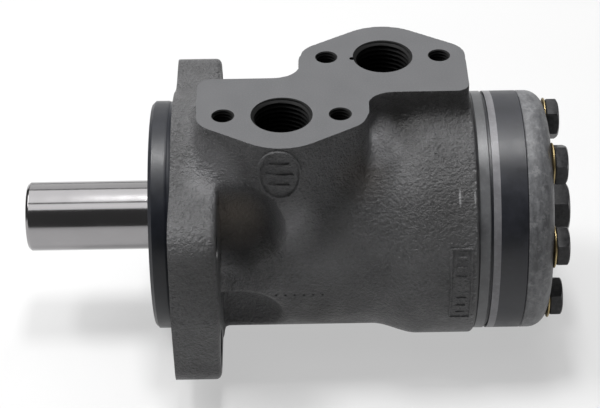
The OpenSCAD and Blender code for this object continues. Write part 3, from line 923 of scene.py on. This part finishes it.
def output_shaft():
    """Shaft and spool in one. Short rows beside each edge keep the smooth faces flat."""
    tip = shaft_low.x
    rear = shaft_high.x
    profile = [(tip, 0), (tip, 4.4), (tip + 0.35, 4.7), (tip + 0.35, SHAFT_R - 2.6), (tip, SHAFT_R - 2.2),
               (tip, SHAFT_R - 0.95), (tip + 0.15, SHAFT_R - 0.7), (tip + 0.95, SHAFT_R - 0.08),
               (tip + 1.15, SHAFT_R), (tip + 1.4, SHAFT_R), (-9.9, SHAFT_R), (-9.5, SHAFT_R),
               (-9.1, SHAFT_R + 0.25), (-8.6, JOURNAL_R - 0.3), (-8.3, JOURNAL_R), (SPOOL_START, JOURNAL_R),
               (SPOOL_START, SPOOL_R), (rear, SPOOL_R), (rear, SPOOL_HOLLOW_R), (56, SPOOL_HOLLOW_R), (54, 11), (54, 0)]
    obj = outward(make_object("shaft_and_spool", *lathe_shape(profile, 144)))
    combine(obj, keyway(), "DIFFERENCE")
    thread = thread_shape(-1, END_THREAD_DEPTH, M8_MINOR_R, M8_MAJOR_R, M8_PITCH, 40, 0.4)
    combine(obj, turn_shape(thread, lambda v: (tip + END_THREAD_DEPTH - 1 - v[0], v[1], v[2])), "DIFFERENCE")
    for port in PORTS:
        x0, x1 = port.x - CHANNEL_W / 2, port.x + CHANNEL_W / 2
        groove = [(x0, SPOOL_CHANNEL_BOTTOM), (x1, SPOOL_CHANNEL_BOTTOM), (x1, 22), (x0, 22)]
        combine(obj, lathe_shape(groove, 96, closed=True), "DIFFERENCE")
    combine(obj, join_shapes([timing_slot(k) for k in range(SLOT_COUNT)]), "DIFFERENCE")
    return finish_piece(obj, "shaft", "ground_steel", [SHAFT_STEEL], "output_shaft", degrees=14)


def ring_piece(name, node, profile, material, slot):
    """A plain turned ring on the motor body."""
    obj = outward(make_object(name, *lathe_shape(profile, 144, closed=True)))
    return finish_piece(obj, "motor_body", slot, [material], node)


def bolt_hole_rods(x0, x1):
    return [rod_shape(x0 - 1, x1 + 1, BOLT_HOLE_R, y, z) for y, z in bolt_places()]


def dust_seal():
    low, high = span("dust_seal")
    inner = JOURNAL_R + 0.08
    profile = [(low.x + 0.5, SEAL_POCKET_R), (high.x, SEAL_POCKET_R), (high.x, inner + 1.2),
               (high.x - 0.8, inner + 1.2), (low.x + 1.6, inner), (low.x + 0.5, inner), (low.x, inner + 0.5),
               (low.x + 0.5, inner + 1.4), (low.x + 0.9, inner + 2.0), (low.x + 0.9, SEAL_POCKET_R - 0.9),
               (low.x + 0.3, SEAL_POCKET_R - 0.5)]
    return ring_piece("dust_wiper", "dust_seal", profile, RUBBER, "seal_rubber")


def spacer_plate():
    x0, x1, c = plate_low.x, plate_high.x, 0.35
    inner = 14.2
    profile = [(x0, inner), (x0, STACK_R - c), (x0 + c, STACK_R), (x1 - c, STACK_R), (x1, STACK_R - c), (x1, inner)]
    obj = outward(make_object("spacer_plate_turned", *lathe_shape(profile, 144, closed=True)))
    combine(obj, join_shapes(bolt_hole_rods(x0, x1)), "DIFFERENCE")
    return finish_piece(obj, "motor_body", "cover_steel", [PLATE_GREY], "spacer_plate")


def roller_ring():
    """The ring between plate and cover. It starts with a small recess and a lighter ground band."""
    x0, x1, c, ground = ring_low.x, ring_high.x, 0.4, 3.4
    inner = 26.3
    profile = [(x0, inner), (x0, STACK_R - 1.1), (x0 + 0.75, STACK_R - 1.0), (x0 + 0.85, STACK_R),
               (x0 + ground, STACK_R), (x1 - c, STACK_R), (x1, STACK_R - c), (x1, inner)]
    obj = outward(make_object("roller_ring_turned", *lathe_shape(profile, 160, closed=True)))
    pockets = []
    for k in range(BOLT_COUNT):
        y, z = polar(ROLLER_CIRCLE_R, FIRST_ROLLER + k * TURN / BOLT_COUNT)
        pockets.append(rod_shape(x0 - 1, x1 + 1, ROLLER_R + 0.06, y, z, 64))
    combine(obj, join_shapes(pockets + bolt_hole_rods(x0, x1)), "DIFFERENCE")
    finish_piece(obj, "motor_body", "dark_steel", [RING_BLACK, RING_GROUND], "geroler_ring")
    for face in obj.data.polygons:
        middle = face.center / MM
        face.material_index = int(middle.x < x0 + ground and math.hypot(middle.y, middle.z) > STACK_R - 0.3)
    return obj


def end_cover():
    x0, x1, edge_r = cover_low.x, cover_high.x, 6.5
    profile = [(x0, 0), (x0, STACK_R - 0.3), (x0 + 0.3, STACK_R), (x1 - edge_r, STACK_R)]
    profile += arc(x1 - edge_r, STACK_R - edge_r, edge_r, 90, 0, 14)[1:]
    profile += [(x1, 0)]
    obj = outward(make_object("cover_turned", *lathe_shape(profile, 160)))
    depth, r = 7.5, 6.5
    plug_hole = lathe_shape([(x1 - depth, 0), (x1 - depth, r), (x1 - 0.6, r), (x1 + 1, r + 1.6), (x1 + 1, 0)], 48)
    combine(obj, join_shapes(bolt_hole_rods(x0, x1) + [plug_hole]), "DIFFERENCE")
    return finish_piece(obj, "motor_body", "cover_steel", [COVER], "end_cover")


def hex_head_shape(x0, x1, flats, tilt, y, z, shank_end, shank_r, dish):
    """A forged hexagon head with a chamfered crown, a dished top and its shank, as one closed surface."""
    steps = 96
    inner_r = flats / 2
    top_r = inner_r * 0.93
    crown_slope = math.tan(math.radians(28))
    columns = []
    for j in range(steps):
        a = TURN * j / steps
        side = inner_r / math.cos((a + TURN / 12) % (TURN / 6) - TURN / 12)
        crown = x1 - 0.12 - (side - top_r) * crown_slope
        column = [(shank_end, 0.02), (shank_end, shank_r - 0.5), (shank_end + 0.5, shank_r), (x0, shank_r),
                  (x0, inner_r - 0.3), (x0 + 0.3, side - 0.25), (x0 + 0.55, side), (crown - 0.25, side),
                  (crown, side - 0.1), (x1 - 0.1, top_r), (x1, top_r - 0.5), (x1, inner_r * 0.62),
                  (x1 - dish, inner_r * 0.5), (x1 - dish, 0.02)]
        turned = a + math.radians(tilt)
        columns.append([(x, y + r * math.cos(turned), z + r * math.sin(turned)) for x, r in column])
    rows = list(zip(*columns))
    verts = [vert for row in rows for vert in row]
    faces = grid_faces(len(rows), steps)
    faces += [tuple(range(steps)), tuple(range(len(verts) - 1, len(verts) - steps - 1, -1))]
    return verts, faces


def cover_bolts():
    """The seven bolts as one piece, and their washers as another."""
    low, high = span("cover_bolts")
    washer_low, washer_high = span("cover_washers")
    heads = [hex_head_shape(washer_high.x, high.x, BOLT_FLATS, tilt, y, z, low.x, BOLT_R - 0.04, 0.5)
             for (y, z), tilt in zip(bolt_places(), BOLT_TILTS)]
    obj = outward(make_object("cover_bolt_set", *join_shapes(heads)))
    finish_piece(obj, "motor_body", "black_fastener", [BLACK_OXIDE], "cover_bolts", degrees=24)
    inner, outer = BOLT_R + 0.4, BOLT_FLATS / 2 + 1.2
    x0, x1 = washer_low.x, washer_high.x
    profile = [(x0, inner), (x0, outer - 0.15), (x0 + 0.15, outer), (x1 - 0.2, outer), (x1, outer - 0.2), (x1, inner)]
    rings = [lathe_shape(profile, 64, y, z, closed=True) for y, z in bolt_places()]
    washers = outward(make_object("cover_washer_set", *join_shapes(rings)))
    finish_piece(washers, "motor_body", "yellow_washer", [ZINC], "cover_washers")


def centre_plug():
    low, high = span("centre_plug")
    seal_low, seal_high = span("plug_seal")
    shape = hex_head_shape(seal_high.x, high.x, PLUG_FLATS, PLUG_TILT, 0.0, 0.0, low.x, 6.4, 0.9)
    obj = outward(make_object("plug_turned", *shape))
    finish_piece(obj, "motor_body", "black_fastener", [BLACK_OXIDE], "centre_plug", degrees=24)
    x0, x1, inner, outer = seal_low.x, seal_high.x, 6.7, seal_high.y
    profile = [(x0, inner), (x0, outer - 0.3), (x0 + 0.3, outer), (x1 - 0.3, outer), (x1, outer - 0.3), (x1, inner)]
    return ring_piece("plug_seal_ring", "plug_seal", profile, ZINC, "yellow_washer")


def inner_parts():
    """Hidden parts keep their CAD shape and get their own finish."""
    finishes = {"shaft_seal": RUBBER, "seal_backup_ring": PTFE, "thrust_race_front": INNER_STEEL,
                "thrust_race_rear": INNER_STEEL, "needle_cage": CAGE_STEEL, "thrust_needles": INNER_STEEL,
                "cardan_shaft": DARK_STEEL, "rotor": INNER_STEEL, "drive_spacer": INNER_STEEL,
                "plate_oring": RUBBER, "ring_oring": RUBBER, "cover_oring": RUBBER,
                "check_ball_left": INNER_STEEL, "check_ball_right": INNER_STEEL,
                "check_seat_left": DARK_STEEL, "check_seat_right": DARK_STEEL}
    finishes.update({f"roller_{k}": INNER_STEEL for k in range(1, BOLT_COUNT + 1)})
    for node, material in finishes.items():
        mesh = frame["nodes"][node].data
        mesh.materials.clear()
        mesh.materials.append(material)


# ---------------------------------------------------------------- stage
# The photo's view, and the point that the lights aim at
VIEW_ELEVATION = math.radians(36.72)
VIEW_YAW = math.radians(0.11)
VIEW_ROLL = math.radians(-0.91)
VIEW_DISTANCE = 0.7128
VIEW_TARGET = Vector((0.04453, 0.0, 0.00362))
LIGHT_TARGET = Vector((0.045, 0, 0))
LIGHT_DISTANCE = 0.95


def camera():
    data = bpy.data.cameras.new("camera")
    data.sensor_width = 36.0
    data.lens = 117.8
    data.clip_start = 0.05
    cam = bpy.data.objects.new("camera", data)
    bpy.context.scene.collection.objects.link(cam)
    level = math.cos(VIEW_ELEVATION)
    look = Vector((math.sin(VIEW_YAW) * level, math.cos(VIEW_YAW) * level, -math.sin(VIEW_ELEVATION)))
    right = look.cross(Vector((0, 0, 1))).normalized()
    up = right.cross(look)
    tilted_right = right * math.cos(VIEW_ROLL) + up * math.sin(VIEW_ROLL)
    tilted_up = up * math.cos(VIEW_ROLL) - right * math.sin(VIEW_ROLL)
    place = Matrix((tilted_right, tilted_up, -look)).transposed().to_4x4()
    place.translation = VIEW_TARGET - look * VIEW_DISTANCE
    cam.matrix_world = place
    bpy.context.scene.camera = cam


def soft_box(name, angles, reach, radiance):
    """A soft light above the motor. Its angles run from the camera's side over the top, and reach is its span in X."""
    turn = math.radians(sum(angles) / 2)
    tall = 2 * LIGHT_DISTANCE * math.tan(math.radians((angles[1] - angles[0]) / 2))
    wide = reach[1] - reach[0]
    place = LIGHT_TARGET + Vector((sum(reach) / 2, -LIGHT_DISTANCE * math.cos(turn), LIGHT_DISTANCE * math.sin(turn)))
    data = bpy.data.lights.new(name, "AREA")
    data.shape = "RECTANGLE"
    data.size, data.size_y = wide, tall
    data.energy = radiance * math.pi * wide * tall
    light = bpy.data.objects.new(name, data)
    back = (place - LIGHT_TARGET).normalized()
    up = back.cross(Vector((1, 0, 0))).normalized()
    light.matrix_world = Matrix.Translation(place) @ Matrix((up.cross(back), up, back)).transposed().to_4x4()
    bpy.context.scene.collection.objects.link(light)


def studio():
    """The mirror boxes are what the bright shaft reflects. The others light the casting from above and the sides."""
    soft_box("mirror_front", (58, 78), (-0.40, 0.0), 1.6)
    soft_box("mirror_top", (83, 134), (-0.40, 0.0), 1.6)
    soft_box("mirror_back", (139, 176), (-0.50, 0.36), 0.9)
    soft_box("key_top", (89, 103), (-0.06, 0.06), 66.0)
    soft_box("key_left", (86, 106), (-0.56, -0.38), 26.0)
    soft_box("side_left", (80, 125), (-1.10, -0.50), 4.2)
    soft_box("back_right", (102, 135), (0.05, 0.42), 2.4)
    world = bpy.data.worlds.new("studio")
    world.use_nodes = True
    world.node_tree.nodes["Background"].inputs["Color"].default_value = (1, 1, 1, 1)
    world.node_tree.nodes["Background"].inputs["Strength"].default_value = 0.07
    bpy.context.scene.world = world
    side = 3.0
    ground = -BARREL_R - 0.1
    floor = make_object("floor", [(x / MM, y / MM, ground) for x, y in
                                  ((-side, -side), (side, -side), (side, side), (-side, side))], [(0, 1, 2, 3)])
    p = Paint("pale_floor", (0.6, 0.6, 0.6), 0.7)
    tone = p.mix(p.noise(120, 2, 0.5), (0.27, 0.27, 0.27), (0.3, 0.3, 0.3))
    p.shader.inputs["Emission Color"].default_value = (1, 1, 1, 1)
    p.shader.inputs["Emission Strength"].default_value = 0.48
    floor.data.materials.append(p.done(tone))
    bpy.context.scene.view_settings.view_transform = "Standard"


camera()
housing()
output_shaft()
dust_seal()
spacer_plate()
roller_ring()
end_cover()
cover_bolts()
centre_plug()
inner_parts()
studio()
